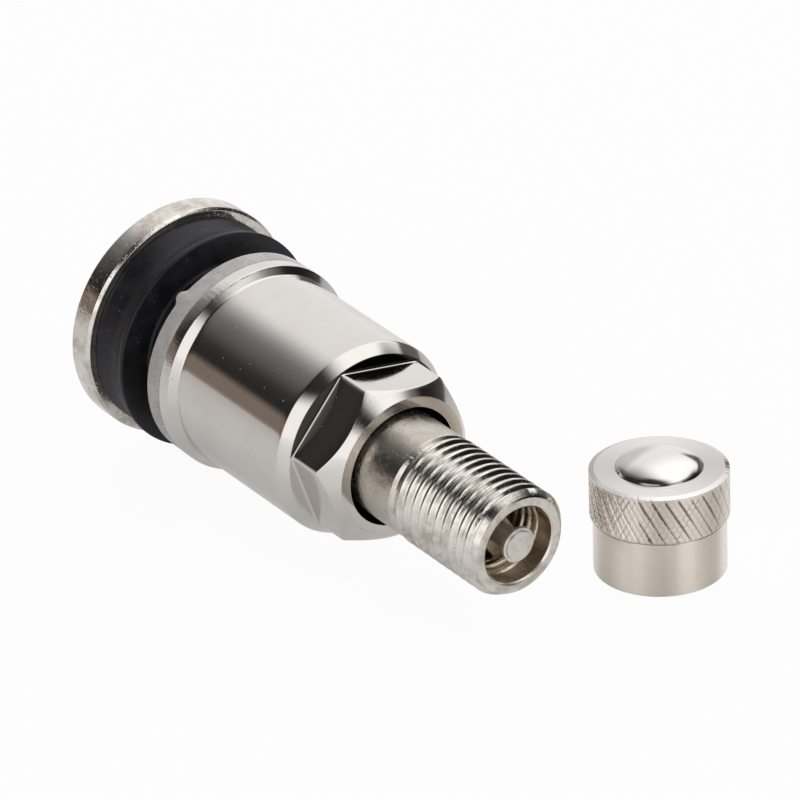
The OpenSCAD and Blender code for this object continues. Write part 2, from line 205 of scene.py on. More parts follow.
class Finish:
    def __init__(self, name, tree=None):
        if tree is None:
            self.material = bpy.data.materials.new(name)
            self.material.use_nodes = True
            tree = self.material.node_tree
        self.tree = tree
        self.shader = tree.nodes.get("Principled BSDF")

    def feed(self, socket, value):
        if isinstance(value, Wire):
            self.tree.links.new(value.socket, socket)
        else:
            socket.default_value = value

    def node(self, kind, settings=None, inputs=None, output=0):
        made = self.tree.nodes.new(kind)
        for key, value in (settings or {}).items():
            setattr(made, key, value)
        for key, value in (inputs or {}).items():
            self.feed(made.inputs[key], value)
        return Wire(self, made.outputs[output])

    def surface(self, **sockets):
        for key, value in sockets.items():
            self.feed(self.shader.inputs[key.replace("_", " ")], value)

    def spot(self, place):
        # millimetres in a piece's own frame, with z along its axis
        raw = self.node("ShaderNodeTexCoord", output="Object")
        return self.node("ShaderNodeMapping", {"vector_type": "TEXTURE"}, {
            "Vector": raw,
            "Location": place.translation,
            "Rotation": place.to_euler(),
            "Scale": (mm, mm, mm),
        })

    def split(self, vector):
        apart = self.tree.nodes.new("ShaderNodeSeparateXYZ")
        self.feed(apart.inputs[0], vector)
        return [Wire(self, socket) for socket in apart.outputs]

    def vector(self, x, y, z):
        return self.node("ShaderNodeCombineXYZ", None, {0: x, 1: y, 2: z})

    def radius(self, x, y):
        flat = self.vector(x, y, 0.0)
        return self.node("ShaderNodeVectorMath", {"operation": "LENGTH"}, {0: flat}, "Value")

    def around(self, x, y):
        # angle about the axis, in degrees
        return self.node("ShaderNodeMath", {"operation": "ARCTAN2"}, {0: y, 1: x}) * (360 / fullTurn)

    def wave(self, degrees):
        # 1 at zero degrees and 0 at half a turn
        turned = degrees * (fullTurn / 360)
        return self.node("ShaderNodeMath", {"operation": "COSINE"}, {0: turned}) * 0.5 + 0.5

    def specks(self, vector, scale, size, share):
        # small dots of uneven size, in some of the cells only
        cells = {"Vector": vector, "Scale": scale}
        near = self.node("ShaderNodeTexVoronoi", None, cells, "Distance")
        chance = self.split(self.node("ShaderNodeTexVoronoi", None, cells, "Color"))[0]
        return (near < size * chance) * (chance > 1 - share)

    def grain(self, vector, scale, detail=3.0, rough=0.6):
        return self.node("ShaderNodeTexNoise", None,
                         {"Vector": vector, "Scale": scale, "Detail": detail, "Roughness": rough})

    def reach(self, value, low, high, start=0.0, end=1.0):
        return self.node("ShaderNodeMapRange", {"interpolation_type": "SMOOTHSTEP"},
                         {"Value": value, "From Min": low, "From Max": high, "To Min": start, "To Max": end})

    def below(self, value, low, high):
        return self.reach(value, low, high, 1.0, 0.0)

    def between(self, value, start, risen, falling, end):
        return self.reach(value, start, risen) * self.below(value, falling, end)

    def ramp(self, value, stops):
        # grey levels between the given places, straight from one to the next
        made = self.tree.nodes.new("ShaderNodeValToRGB")
        elements = made.color_ramp.elements
        elements[0].position, elements[1].position = stops[0][0], stops[-1][0]
        for place, level in stops[1:-1]:
            elements.new(place)
        for element, (place, level) in zip(elements, stops):
            element.color = (level, level, level, 1)
        self.feed(made.inputs[0], value)
        return Wire(self, made.outputs[0])

    def blend(self, share, first, second):
        first, second = [(*colour, 1) if isinstance(colour, tuple) else colour for colour in (first, second)]
        return self.node("ShaderNodeMix", {"data_type": "RGBA"}, {0: share, 6: first, 7: second}, 2)

    def bump(self, height, distance, strength):
        return self.node("ShaderNodeBump", None,
                         {"Height": height, "Distance": distance * mm, "Strength": strength})


midGrain = (0.3, 0.7)      # most values of a grain lie between these
wideGrain = (0.2, 0.8)
cloudGrain = (0.35, 0.7)   # leaves the brighter clouds only
dusting = {"cover": 0.8, "metalLost": 0.7, "roughAdded": 0.4}   # on the stem and the nut alike

# nickel of the stem: bright plating with small pits and cloudy patches, crinkled on the neck
# and brown in the bore
nickel = {
    "bright": (0.76, 0.72, 0.67), "dull": (0.54, 0.49, 0.43), "dust": (0.62, 0.58, 0.53),
    "roughLow": 0.07, "roughHigh": 0.2, "patch": 0.9, "patchGrain": (0.4, 0.68),
    "pit": 3.2, "pitGrain": (0.28, 0.46), "pitDepth": 0.013,
    "speck": 2.4, "speckSize": 0.12, "speckShare": 0.12,
    "neckFrom": 23.5, "neckTo": 28.2, "neckFade": 0.6, "neckDull": 0.8, "neckRough": 0.2,
    "crinkle": 1.7, "crinkleDepth": 0.03,
    "crinkleSide": (-2.9, -1.4), "crinkleFade": (-0.2, 1.5), "crinkleKeep": 0.25,
    "threadFade": 0.4, "threadSmooth": 0.6, "mark": 7.0, "markDepth": 0.016,
    "insideFrom": 2.95, "insideFade": 0.15, "insideRough": 0.12, "inside": (0.75, 0.68, 0.60),
    "reliefShare": 0.7,
}


def nickelFinish():
    finish = Finish("nickel_stem")
    spot = finish.spot(lying)
    x, y, z = finish.split(spot)
    patch = finish.reach(finish.grain(spot, nickel["patch"], detail=4.0), *nickel["patchGrain"])
    pits = finish.reach(finish.grain(spot, nickel["pit"]), *nickel["pitGrain"])
    neckFrom, neckTo, fade = nickel["neckFrom"], nickel["neckTo"], nickel["neckFade"]
    neck = finish.between(z, neckFrom, neckFrom + fade, neckTo - fade, neckTo)
    side = finish.reach(x, *nickel["crinkleSide"])
    side = side * finish.reach(x, *nickel["crinkleFade"], 1.0, nickel["crinkleKeep"])
    folds = finish.grain(spot, nickel["crinkle"], detail=5.0, rough=0.65)
    crinkle = finish.reach(folds, *midGrain) * neck * side
    thread = finish.reach(z, neckTo, neckTo + nickel["threadFade"])
    marks = finish.grain(finish.vector(0.0, 0.0, z), nickel["mark"], rough=0.7) * thread
    # relief is in millimetres
    relief = pits * (1 - thread * nickel["threadSmooth"]) * nickel["pitDepth"]
    relief = relief + crinkle * nickel["crinkleDepth"] + marks * nickel["markDepth"]
    boreWall = nickel["insideFrom"]
    inside = finish.below(finish.radius(x, y), boreWall - nickel["insideFade"], boreWall)
    dust = finish.specks(spot, nickel["speck"], nickel["speckSize"], nickel["speckShare"])
    rough = finish.reach(patch, 0.0, 1.0, nickel["roughLow"], nickel["roughHigh"])
    rough = rough + neck * nickel["neckRough"] + inside * nickel["insideRough"]
    worn = patch * (1 - neck * nickel["neckDull"]) + neck * nickel["neckDull"]
    plate = finish.blend(inside, finish.blend(worn, nickel["bright"], nickel["dull"]), nickel["inside"])
    finish.surface(
        Base_Color=finish.blend(dust * dusting["cover"], plate, nickel["dust"]),
        Metallic=1 - dust * dusting["metalLost"],
        Roughness=rough + dust * dusting["roughAdded"],
        Normal=finish.bump(relief, 1.0, nickel["reliefShare"]),
    )
    return finish.material


# polished plating of the nut, with fine lathe rings, some dust, painted shade in the corner at the ledge and nicks
# on the collar
nutPlate = {
    "colour": (0.74, 0.715, 0.695), "warm": (0.66, 0.615, 0.57), "dust": (0.55, 0.52, 0.48),
    "roughLow": 0.08, "roughHigh": 0.15, "ring": 5.0, "ringDepth": 0.0012, "patch": 0.35,
    # the dark colour at the ledge is painted shade, laid into the corner at the foot of the hexagon
    "ledgeAt": 20.54, "ledgeGrime": (-0.05, -0.01, 0.03, 0.1), "grimeAbove": 0.9, "grimeFade": 0.3,
    "grime": (0.05, 0.046, 0.04),
    "speck": 1.9, "speckSize": 0.1, "speckShare": 0.35, "mottle": 4.5, "mottleDepth": 0.003,
    "collarEnd": 8.14, "collarFade": 0.1,
    "nick": 2.2, "nickLong": 0.35, "nickGrain": (0.35, 0.65), "nickDepth": 0.012, "reliefShare": 0.5,
}


def nutFinish():
    finish = Finish("polished_nut")
    spot = finish.spot(lying)
    x, y, z = finish.split(spot)
    along = finish.vector(finish.radius(x, y), 0.0, z)
    rings = finish.grain(along, nutPlate["ring"], rough=0.7)
    patch = finish.grain(spot, nutPlate["patch"], rough=0.5)
    # painted shade: the plating is coloured dark in a narrow band at the ledge corner, on one side of the nut only
    grime = finish.between(z, *[nutPlate["ledgeAt"] + step for step in nutPlate["ledgeGrime"]])
    grime = grime * finish.below(x, -nutPlate["grimeAbove"] - nutPlate["grimeFade"], -nutPlate["grimeAbove"])
    dust = finish.specks(spot, nutPlate["speck"], nutPlate["speckSize"], nutPlate["speckShare"])
    mottle = finish.grain(spot, nutPlate["mottle"])
    collar = finish.below(z, nutPlate["collarEnd"], nutPlate["collarEnd"] + nutPlate["collarFade"])
    drawnOut = finish.vector(x, y, z * nutPlate["nickLong"])
    scrape = finish.grain(drawnOut, nutPlate["nick"], detail=4.0, rough=0.7)
    relief = rings * nutPlate["ringDepth"] + mottle * nutPlate["mottleDepth"]
    relief = relief + finish.reach(scrape, *nutPlate["nickGrain"]) * collar * nutPlate["nickDepth"]
    rough = finish.reach(rings, *midGrain, nutPlate["roughLow"], nutPlate["roughHigh"])
    plate = finish.blend(grime, finish.blend(patch, nutPlate["colour"], nutPlate["warm"]), nutPlate["grime"])
    finish.surface(
        Base_Color=finish.blend(dust * dusting["cover"], plate, nutPlate["dust"]),
        Metallic=1 - dust * dusting["metalLost"],
        Roughness=rough + dust * dusting["roughAdded"],
        Normal=finish.bump(relief, 1.0, nutPlate["reliefShare"]),
    )
    return finish.material


# bright plating of the cap: painted reflection in soft upright bands on its side, painted shade in the knurl
# grooves, a painted fan of light on its rim
capPlate = {
    # the skirt's light and dark colours are painted reflection, swung in upright bands round the cap
    "light": (0.92, 0.845, 0.76), "dark": (0.60, 0.535, 0.465), "bands": 7, "bandFrom": -66,
    # the groove colour is painted shade, laid in where the knurl cuts below the band's surface
    "groove": (0.36, 0.31, 0.265), "grooveShare": 0.75, "grooveFloor": 4.57, "grooveTop": 4.64,
    "knurlFrom": 3.9, "knurlTo": 7.28, "knurlFade": 0.1,
    # the rim's two colours are painted light: the first where the fan of light falls, the second at the sides
    "top": (0.77, 0.745, 0.735), "topSide": (0.58, 0.555, 0.545), "topFrom": 7.2, "topFade": 0.12,
    "fans": 2.0, "fanFrom": -36.2, "fanInside": (2.0, 3.0),
    "roughLow": 0.09, "roughHigh": 0.17, "ring": 6.0, "ringDepth": 0.0006, "ringShare": 0.5,
    "patch": 0.8, "patchShare": 0.25,
}


def capFinish():
    finish = Finish("satin_cap")
    spot = finish.spot(standing)
    x, y, z = finish.split(spot)
    outward = finish.radius(x, y)
    turn = finish.around(x, y)
    rings = finish.grain(finish.vector(outward, 0.0, z), capPlate["ring"], rough=0.7)
    patch = finish.grain(spot, capPlate["patch"], detail=4.0)
    # painted reflection: the skirt's colour swings from dark to light in upright bands round the cap
    reflectionBand = finish.wave((turn - capPlate["bandFrom"]) * capPlate["bands"])
    # painted light: the rim is coloured brighter on the part facing the camera and the part opposite, darker
    # between, faded out towards the dome
    flat = finish.reach(outward, *capPlate["fanInside"])
    rimLightFan = finish.wave((turn - capPlate["fanFrom"]) * capPlate["fans"]) * flat + 1 - flat
    knurlFrom, knurlTo, fade = capPlate["knurlFrom"], capPlate["knurlTo"], capPlate["knurlFade"]
    # painted shade: the colour darkens in the knurl grooves, below the band's outer surface, within the knurled
    # height
    groove = finish.below(outward, capPlate["grooveFloor"], capPlate["grooveTop"]) * capPlate["grooveShare"]
    groove = groove * finish.between(z, knurlFrom, knurlFrom + fade, knurlTo - fade, knurlTo)
    # the skirt's colour is mostly the painted reflection bands, partly random tone patches
    share = reflectionBand * (1 - capPlate["patchShare"]) + patch * capPlate["patchShare"]
    side = finish.blend(groove, finish.blend(share, capPlate["dark"], capPlate["light"]), capPlate["groove"])
    top = finish.blend(rimLightFan, capPlate["topSide"], capPlate["top"])
    onTop = finish.reach(z, capPlate["topFrom"], capPlate["topFrom"] + capPlate["topFade"])
    finish.surface(
        Base_Color=finish.blend(onTop, side, top),
        Metallic=1.0,
        Roughness=finish.reach(rings, *midGrain, capPlate["roughLow"], capPlate["roughHigh"]),
        Normal=finish.bump(rings, capPlate["ringDepth"], capPlate["ringShare"]),
    )
    return finish.material


# black moulded rubber with dust on it
sealRubber = {
    "colour": (0.0075, 0.0072, 0.0085), "worn": (0.018, 0.0175, 0.02), "cloud": 0.7,
    "dust": (0.30, 0.28, 0.27), "dustCover": 0.7, "speck": 2.6, "speckSize": 0.13, "speckShare": 0.16,
    "rough": 0.36, "roughSpread": 0.18, "gloss": 0.48, "sheen": (0.92, 0.9, 1.0),
    "grain": 9.0, "grainDepth": 0.008, "grainShare": 0.6,
}


def rubberFinish():
    finish = Finish("black_rubber")
    spot = finish.spot(lying)
    cloud = finish.grain(spot, sealRubber["cloud"], detail=4.0)
    specks = finish.specks(spot, sealRubber["speck"], sealRubber["speckSize"], sealRubber["speckShare"])
    plain = finish.blend(finish.reach(cloud, *cloudGrain), sealRubber["colour"], sealRubber["worn"])
    rough = sealRubber["rough"]
    pores = finish.grain(spot, sealRubber["grain"])
    finish.surface(
        Base_Color=finish.blend(specks * sealRubber["dustCover"], plain, sealRubber["dust"]),
        Roughness=finish.reach(cloud, *wideGrain, rough, rough + sealRubber["roughSpread"]),
        Normal=finish.bump(pores, sealRubber["grainDepth"], sealRubber["grainShare"]),
    )
    finish.surface(Specular_IOR_Level=sealRubber["gloss"], Specular_Tint=(*sealRubber["sheen"], 1))
    return finish.material


# small seals of the core and the cap
softRubber = {
    "colour": (0.018, 0.018, 0.018), "worn": (0.045, 0.043, 0.042), "cloud": 2.5,
    "rough": 0.6, "roughSpread": 0.1, "grain": 12.0, "grainDepth": 0.004, "grainShare": 0.5,
}


def softFinish():
    finish = Finish("core_rubber")
    spot = finish.spot(lying)
    cloud = finish.grain(spot, softRubber["cloud"], detail=4.0)
    rough, spread = softRubber["rough"], softRubber["roughSpread"]
    pores = finish.grain(spot, softRubber["grain"], detail=2.0, rough=0.5)
    finish.surface(
        Base_Color=finish.blend(cloud, softRubber["colour"], softRubber["worn"]),
        Roughness=finish.reach(cloud, *wideGrain, rough - spread, rough + spread),
        Normal=finish.bump(pores, softRubber["grainDepth"], softRubber["grainShare"]),
    )
    return finish.material


# milky nylon of the washer
nylon = {
    "colour": (0.70, 0.69, 0.665), "deep": (0.55, 0.54, 0.51), "cloud": 0.6,
    "roughLow": 0.22, "roughHigh": 0.4, "scuff": 4.0, "scuffDepth": 0.006, "scuffShare": 0.5,
    "glow": 0.7, "glowDepth": 1.2, "glowTint": (1.0, 0.95, 0.85),
}


def nylonFinish():
    finish = Finish("clear_nylon")
    spot = finish.spot(lying)
    cloud = finish.grain(spot, nylon["cloud"])
    scuff = finish.grain(spot, nylon["scuff"])
    finish.surface(
        Base_Color=finish.blend(finish.reach(cloud, *cloudGrain), nylon["colour"], nylon["deep"]),
        Roughness=finish.reach(scuff, *midGrain, nylon["roughLow"], nylon["roughHigh"]),
        Normal=finish.bump(scuff, nylon["scuffDepth"], nylon["scuffShare"]),
    )
    finish.surface(
        Subsurface_Weight=nylon["glow"],
        Subsurface_Radius=nylon["glowTint"],
        Subsurface_Scale=nylon["glowDepth"] * mm,
    )
    return finish.material


# metals of the core: brass plug and barrel, plated pin, steel spring
coreMetals = {
    "core_brass": {"colour": (0.50, 0.42, 0.30), "dark": (0.26, 0.20, 0.14), "rough": (0.26, 0.44)},
    "pin_metal": {"colour": (0.80, 0.765, 0.715), "dark": (0.66, 0.62, 0.57), "rough": (0.32, 0.5)},
    "spring_wire": {"colour": (0.58, 0.58, 0.57), "dark": (0.40, 0.39, 0.38), "rough": (0.2, 0.38)},
}
coreWear = {
    "stain": 1.4, "stainGrain": (0.4, 0.7), "scratch": 7.0, "scratchDepth": 0.008, "scratchShare": 0.5,
}


def coreFinish(name):
    metal = coreMetals[name]
    finish = Finish(name)
    spot = finish.spot(lying)
    stain = finish.reach(finish.grain(spot, coreWear["stain"], detail=4.0), *coreWear["stainGrain"])
    scratch = finish.grain(spot, coreWear["scratch"], rough=0.7)
    finish.surface(
        Base_Color=finish.blend(stain, metal["colour"], metal["dark"]),
        Metallic=1.0,
        Roughness=finish.reach(scratch, *midGrain, *metal["rough"]),
        Normal=finish.bump(scratch, coreWear["scratchDepth"], coreWear["scratchShare"]),
    )
    return finish.material


finishes = {
    "nickel_stem": nickelFinish(), "polished_nut": nutFinish(), "satin_cap": capFinish(),
    "black_rubber": rubberFinish(), "core_rubber": softFinish(), "clear_nylon": nylonFinish(),
}
for metalName in coreMetals:
    finishes[metalName] = coreFinish(metalName)
print("finishes mixed")

# stem: head, shank with its nut thread, neck, valve thread, mouth and core bore
stem = {
    "headEdge": 0.2, "soft": 0.05, "shankRadius": 4.5, "shankEnd": 16.5,
    "nutThreadFrom": 5.9, "nutThreadTo": 15.4, "nutThreadPitch": 0.75, "nutThreadDepth": 0.38,
    "nutThreadRings": 8, "neckRadius": 3.8, "runoutWidth": 0.65, "runoutDepth": 0.25,
    "pitch": 0.794, "threadDepth": 0.36, "threadCrest": 0.12, "threadRoot": 0, "threadRound": 0.9,
    "threadRings": 20, "threadFrom": 330, "threadFloor": 3.5, "tipEdge": 0.45, "tipRound": 0.12,
    "mouthRadius": 2.87, "counterRadius": 2.725, "counterDepth": 1.5, "boreRadius": 2.6,
    "corePitch": 0.706, "coreThreadDepth": 0.16, "coreThreadEnd": 5.4, "coreThreadFade": 0.3,
    "coreRings": 12,
    "coneTop": 7.42, "coneLength": 1.6, "chamberRadius": 2.1, "pinRoom": 1.35,
    "airRadius": 1.5, "countersink": 0.4, "cornerSteps": 6, "steps": 144,
}
stemBack, stemTip, headRadius = measure("valve_stem", lying)
pinStart, pinEnd, flangeRadius = measure("core_pin", lying)


def makeStem():
    soft, edge = stem["soft"], stem["headEdge"]
    shank, neck = stem["shankRadius"], stem["neckRadius"]
    runout, runoutWidth = neck - stem["runoutDepth"], stem["runoutWidth"]
    mouth, counter, bore = stem["mouthRadius"], stem["counterRadius"], stem["boreRadius"]
    chamber, air, sink = stem["chamberRadius"], stem["airRadius"], stem["countersink"]
    tipSide = stemTip - stem["tipEdge"]
    boreTop = stemTip - stem["counterDepth"] - (counter - bore)
    boreThreadEnd = stemTip - stem["coreThreadEnd"]
    coneTop = stemTip - stem["coneTop"]
    chamberEnd = pinStart - stem["pinRoom"]
    nutFrom, nutTo = stem["nutThreadFrom"], stem["nutThreadTo"]
    nutRings = round((nutTo - nutFrom) / stem["nutThreadPitch"] * stem["nutThreadRings"])
    valveRings = round((tipSide - threadStart) / stem["pitch"] * stem["threadRings"])
    coreRings = round((boreTop - boreThreadEnd) / stem["corePitch"] * stem["coreRings"])
    outline = soften([
        (air + sink, stemBack), (headRadius - edge, stemBack, soft), (headRadius, stemBack + edge, soft),
        (headRadius, -edge, soft), (headRadius - edge, 0, soft), (shank, 0),
        *stretch((shank, nutFrom), (shank, nutTo), nutRings),
        (shank, stem["shankEnd"] - (shank - neck)), (neck, stem["shankEnd"]),
        (neck, threadStart - runoutWidth, soft),
        (runout, threadStart - runoutWidth * 2 / 3, soft), (runout, threadStart - runoutWidth / 3, soft),
        *stretch((threadRadius, threadStart), (threadRadius, tipSide), valveRings),
        (threadRadius - stem["tipEdge"], stemTip, stem["tipRound"]), (mouth, stemTip, soft),
        (counter, stemTip - (mouth - counter), soft), (counter, stemTip - stem["counterDepth"], soft / 2),
        *stretch((bore, boreTop), (bore, boreThreadEnd), coreRings),
        (bore, coneTop), (chamber, coneTop - stem["coneLength"]),
        (chamber, chamberEnd), (air, chamberEnd - (chamber - air)),
        (air, stemBack + sink), (air + sink, stemBack),
    ], stem["cornerSteps"])
    piece = turnOnLathe("stem_turned", outline, stem["steps"])

    def cutThreads(radius, angle, height):
        if radius > stem["threadFloor"] and height >= threadStart - hair:
            about = angle - math.radians(stem["threadFrom"])
            shares = [stem[key] for key in ("threadCrest", "threadRoot", "threadRound")]
            depth = screwDepth(about, height - threadStart, stem["pitch"], *shares)
            radius = min(radius, threadRadius - depth * stem["threadDepth"])
        elif radius > neck and nutFrom <= height <= nutTo:
            room = min(height - nutFrom, nutTo - height)
            depth = screwDepth(angle, height, stem["nutThreadPitch"]) * stem["nutThreadDepth"]
            radius -= depth * smoothStep(0, stem["nutThreadPitch"], room)
        elif abs(radius - bore) < touch and boreThreadEnd <= height <= boreTop:
            room = min(height - boreThreadEnd, boreTop - height)
            depth = screwDepth(angle, height, stem["corePitch"]) * stem["coreThreadDepth"]
            radius += depth * smoothStep(0, stem["corePitch"] * stem["coreThreadFade"], room)
        return radius, angle, height

    moveRings(piece, cutThreads)
    settle(piece, lying, "stem", "valve_stem", "nickel_stem", smoothAngle=50)


makeStem()
print("stem turned")

# rubber that sits on the head and fills the hole in the rim
seal = {
    "boreRadius": 4.52, "baseRadius": 7.7, "baseEdge": 0.12, "baseHigh": 0.3, "baseRound": 0.2,
    "waistRadius": 7.35, "waistAt": 1.3, "waistRound": 0.7,
    "flare": 0.1, "flareBelow": 1.2, "flareRound": 0.4, "lipAt": 3.3, "lipDraft": 0.03,
    "neckRadius": 5.65, "round": 0.3, "endRound": 0.1, "cornerSteps": 6, "steps": 128,
}


def makeSeal():
    sealStart, sealEnd, lipRadius = measure("rim_seal", lying)
    bore, base, waist = seal["boreRadius"], seal["baseRadius"], seal["waistRadius"]
    neck, lipAt, corner = seal["neckRadius"], seal["lipAt"], seal["round"]
    outline = soften([
        (bore, sealStart), (base, sealStart, seal["baseEdge"]),
        (base, sealStart + seal["baseHigh"], seal["baseRound"]),
        (waist, seal["waistAt"], seal["waistRound"]),
        (waist + seal["flare"], lipAt - seal["flareBelow"], seal["flareRound"]),
        (lipRadius, lipAt - corner, corner), (lipRadius - seal["lipDraft"], lipAt, corner),
        (neck, lipAt, corner), (neck, sealEnd, seal["endRound"]), (bore, sealEnd), (bore, sealStart),
    ], seal["cornerSteps"])
    piece = turnOnLathe("rim_seal_rubber", outline, seal["steps"])
    settle(piece, lying, "stem", "rim_seal", "black_rubber", smoothAngle=60)


makeSeal()
print("rim seal moulded")

# nylon washer, with the burr where it broke off its moulding tree
washer = {
    "boreRadius": 4.58, "edge": 0.15, "round": 0.06, "bandAt": 0.5, "steps": 288,
    "burrAngle": 218, "burrApart": 3.0, "burrWide": 2.2, "burrHigh": 0.34, "burrDeep": 0.4,
    "burrOut": 0.6, "burrBack": 0.5,
}


def makeWasher():
    washerStart, washerEnd, washerRadius = measure("nylon_washer", lying)
    bore, edge, corner = washer["boreRadius"], washer["edge"], washer["round"]
    outline = soften([
        (bore, washerStart), (washerRadius - edge, washerStart, corner),
        (washerRadius, washerStart + edge, corner), (washerRadius, washerStart + washer["bandAt"]),
        (washerRadius, washerEnd - edge, corner), (washerRadius - edge, washerEnd, corner),
        (bore, washerEnd), (bore, washerStart),
    ])
    piece = turnOnLathe("washer_nylon", outline, washer["steps"])

    def leaveBurr(radius, angle, height):
        across = (math.degrees(angle) - washer["burrAngle"] + 180) % 360 - 180
        if radius > washerRadius - 2 * edge and height < washerStart + washer["burrDeep"]:
            for side in (-0.5, 0.5):
                away = (across + side * washer["burrApart"]) / washer["burrWide"]
                lift = math.exp(-away ** 2) * washer["burrHigh"]
                radius += lift * washer["burrOut"]
                height -= lift * washer["burrBack"]
        return radius, angle, height

    moveRings(piece, leaveBurr)
    settle(piece, lying, "washer", "nylon_washer", "clear_nylon", smoothAngle=50)


makeWasher()
print("washer moulded")

# long nut: collar, cone, sleeve, shoulder and hexagon
nut = {
    "collarBand": 0.95, "collarCone": 0.45, "coneRound": 0.12, "sleeveRadius": 7.0, "sleeveLength": 12.5,
    "ringsFrom": 1.0, "ringsBefore": 0.5, "sleeveRings": 4, "shoulder": 0.85, "shoulderRound": 0.1,
    "ledge": 0.08, "flats": 11.0, "hexTurn": 20.8, "faceRadius": 5.05, "holeRadius": 4.275,
    "holeDepth": 5.5, "boreRadius": 4.58, "soft": 0.05, "rootFillet": 0.2,
    "edgeRound": 0.07, "edgeSlant": 0.707, "cornerRound": 0.05, "cornerFrom": 28.6,
    "rootRings": 5, "flatRings": 4, "edgeRings": 4, "coneRings": 4, "steps": 288,
}
nutBack, nutFront, collarRadius = measure("sleeve_nut", lying)


def makeNut():
    soft, sleeve, face = nut["soft"], nut["sleeveRadius"], nut["faceRadius"]
    bore, hole = nut["boreRadius"], nut["holeRadius"]
    apothem = nut["flats"] / 2
    cornerRadius = apothem / math.cos(math.pi / 6)
    shoulderStart = nutBack + nut["sleeveLength"]
    hexStart = shoulderStart + nut["shoulder"]
    coneStart = nutBack + nut["collarBand"]
    ringCount = nut["rootRings"] + nut["flatRings"] + nut["edgeRings"] + nut["coneRings"]
    boreEnd = nutFront - nut["holeDepth"]
    outline = soften([
        (bore, nutBack), (collarRadius, nutBack, soft), (collarRadius, coneStart, soft),
        (sleeve, coneStart + nut["collarCone"], nut["coneRound"]),
        *stretch((sleeve, coneStart + nut["ringsFrom"]), (sleeve, shoulderStart - nut["ringsBefore"]),
                 nut["sleeveRings"]),
        (sleeve, shoulderStart, nut["shoulderRound"]), (cornerRadius + nut["ledge"], hexStart, soft / 2),
        *stretch((cornerRadius, hexStart + hair), (cornerRadius, nutFront), ringCount),
        (face, nutFront + hair), (face - soft, nutFront), (hole, nutFront, soft),
        (hole, boreEnd + bore - hole), (bore, boreEnd), (bore, nutBack),
    ])
    piece = turnOnLathe("nut_polished", outline, nut["steps"])
    spacing = (nutFront - hexStart - hair) / ringCount

    def millHexagon(radius, angle, height):
        if height < hexStart + hair / 2 or radius < cornerRadius - touch:
            return radius, angle, min(height, nutFront)
        side = (math.degrees(angle) - nut["hexTurn"]) % 60 - 30
        flat = apothem / math.cos(math.radians(side))
        flat -= smoothStep(nut["cornerFrom"], 30, abs(side)) * nut["cornerRound"]
        chamfer = nutFront - (flat - face)   # where the front cone meets this flat
        ring = round((height - hexStart - hair) / spacing)
        fillet = nut["rootFillet"]
        bend = nut["edgeRound"]
        if ring <= nut["rootRings"]:
            sweep = ring / nut["rootRings"] * math.pi / 2
            return flat + fillet * (1 - math.sin(sweep)), angle, hexStart + fillet * (1 - math.cos(sweep))
        ring -= nut["rootRings"]
        if ring <= nut["flatRings"]:
            share = ring / nut["flatRings"]
            return flat, angle, hexStart + fillet + (chamfer - bend - hexStart - fillet) * share
        ring -= nut["flatRings"]
        lower = Vector((flat, chamfer - bend))
        upper = Vector((flat - bend * nut["edgeSlant"], chamfer + bend * nut["edgeSlant"]))
        if ring <= nut["edgeRings"]:
            here = bow(lower, Vector((flat, chamfer)), upper, ring / nut["edgeRings"])
        else:
            here = upper.lerp(Vector((face, nutFront)), (ring - nut["edgeRings"]) / nut["coneRings"])
        return here.x, angle, here.y

    piece.data.transform(Matrix.Rotation(math.radians(nut["hexTurn"]), 4, "Z"))
    moveRings(piece, millHexagon)
    weldSkin()
    settle(piece, lying, "nut", "sleeve_nut", "polished_nut", smoothAngle=28)


makeNut()
print("nut turned and milled")

# core pin with its end, its flange, the spring's flange and the riveted foot
pin = {
    "headRadius": 1.05, "headLength": 0.2, "edge": 0.06, "dome": 0.03, "domeRound": 0.2, "rodRadius": 0.75,
    "flangeThick": 0.3, "flangeLow": 0.04, "flangeHigh": 0.06, "springGap": 0.02, "springRound": 0.03,
    "rivet": 0.3, "rivetRound": 0.08, "steps": 72,
}


def makePin():
    rod, head = pin["rodRadius"], pin["headRadius"]
    foot = rod + pin["rivet"]
    footEnd = pinStart + pin["rivet"]
    headBase = pinEnd - pin["headLength"]
    flangeBase = headBase - pin["flangeThick"]
    springFlange = measure("core_spring", lying)[1] + pin["springGap"]
    springTop = springFlange + pin["flangeThick"]
    outline = soften([
        (0, pinStart), (foot, pinStart, pin["rivetRound"]), (foot, footEnd), (rod, footEnd),
        (rod, springFlange), (flangeRadius, springFlange, pin["springRound"]),
        (flangeRadius, springTop, pin["springRound"]), (rod, springTop),
        (rod, flangeBase), (flangeRadius, flangeBase, pin["flangeLow"]),
        (flangeRadius, headBase, pin["flangeHigh"]), (head, headBase),
        (head, pinEnd - pin["dome"], pin["edge"]), (head / 2, pinEnd - pin["dome"] / 4, pin["domeRound"]),
        (0, pinEnd),
    ])
    piece = turnOnLathe("core_pin_turned", outline, pin["steps"])
    settle(piece, lying, "pin", "core_pin", "pin_metal", smoothAngle=45)


makePin()
print("pin turned")


# the spring is a merged copy of its solid; the share it would shorten to under the pin press is worked out but not
# used
def makeSpring():
    springStart, springEnd = measure("core_spring", lying)[:2]
    bpy.ops.object.select_all(action="DESELECT")
    solid = frame["nodes"]["core_spring"]
    solid.select_set(True)
    bpy.context.view_layer.objects.active = solid
    bpy.ops.object.duplicate()
    piece = bpy.context.object
    piece.name = "core_spring_coil"
    for key in list(piece.keys()):
        del piece[key]
    piece.parent = None
    weldSkin(gap=0.001)
    settle(piece, Matrix.Identity(4), "stem", "core_spring", "spring_wire", smoothAngle=70)
    press = next(joint for joint in frame["joints"] if joint["name"] == "pin_press")
    travel = press["range_m"][1] / mm
    1 - travel / (springEnd - springStart)
    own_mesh(piece)


makeSpring()
print("spring copied")

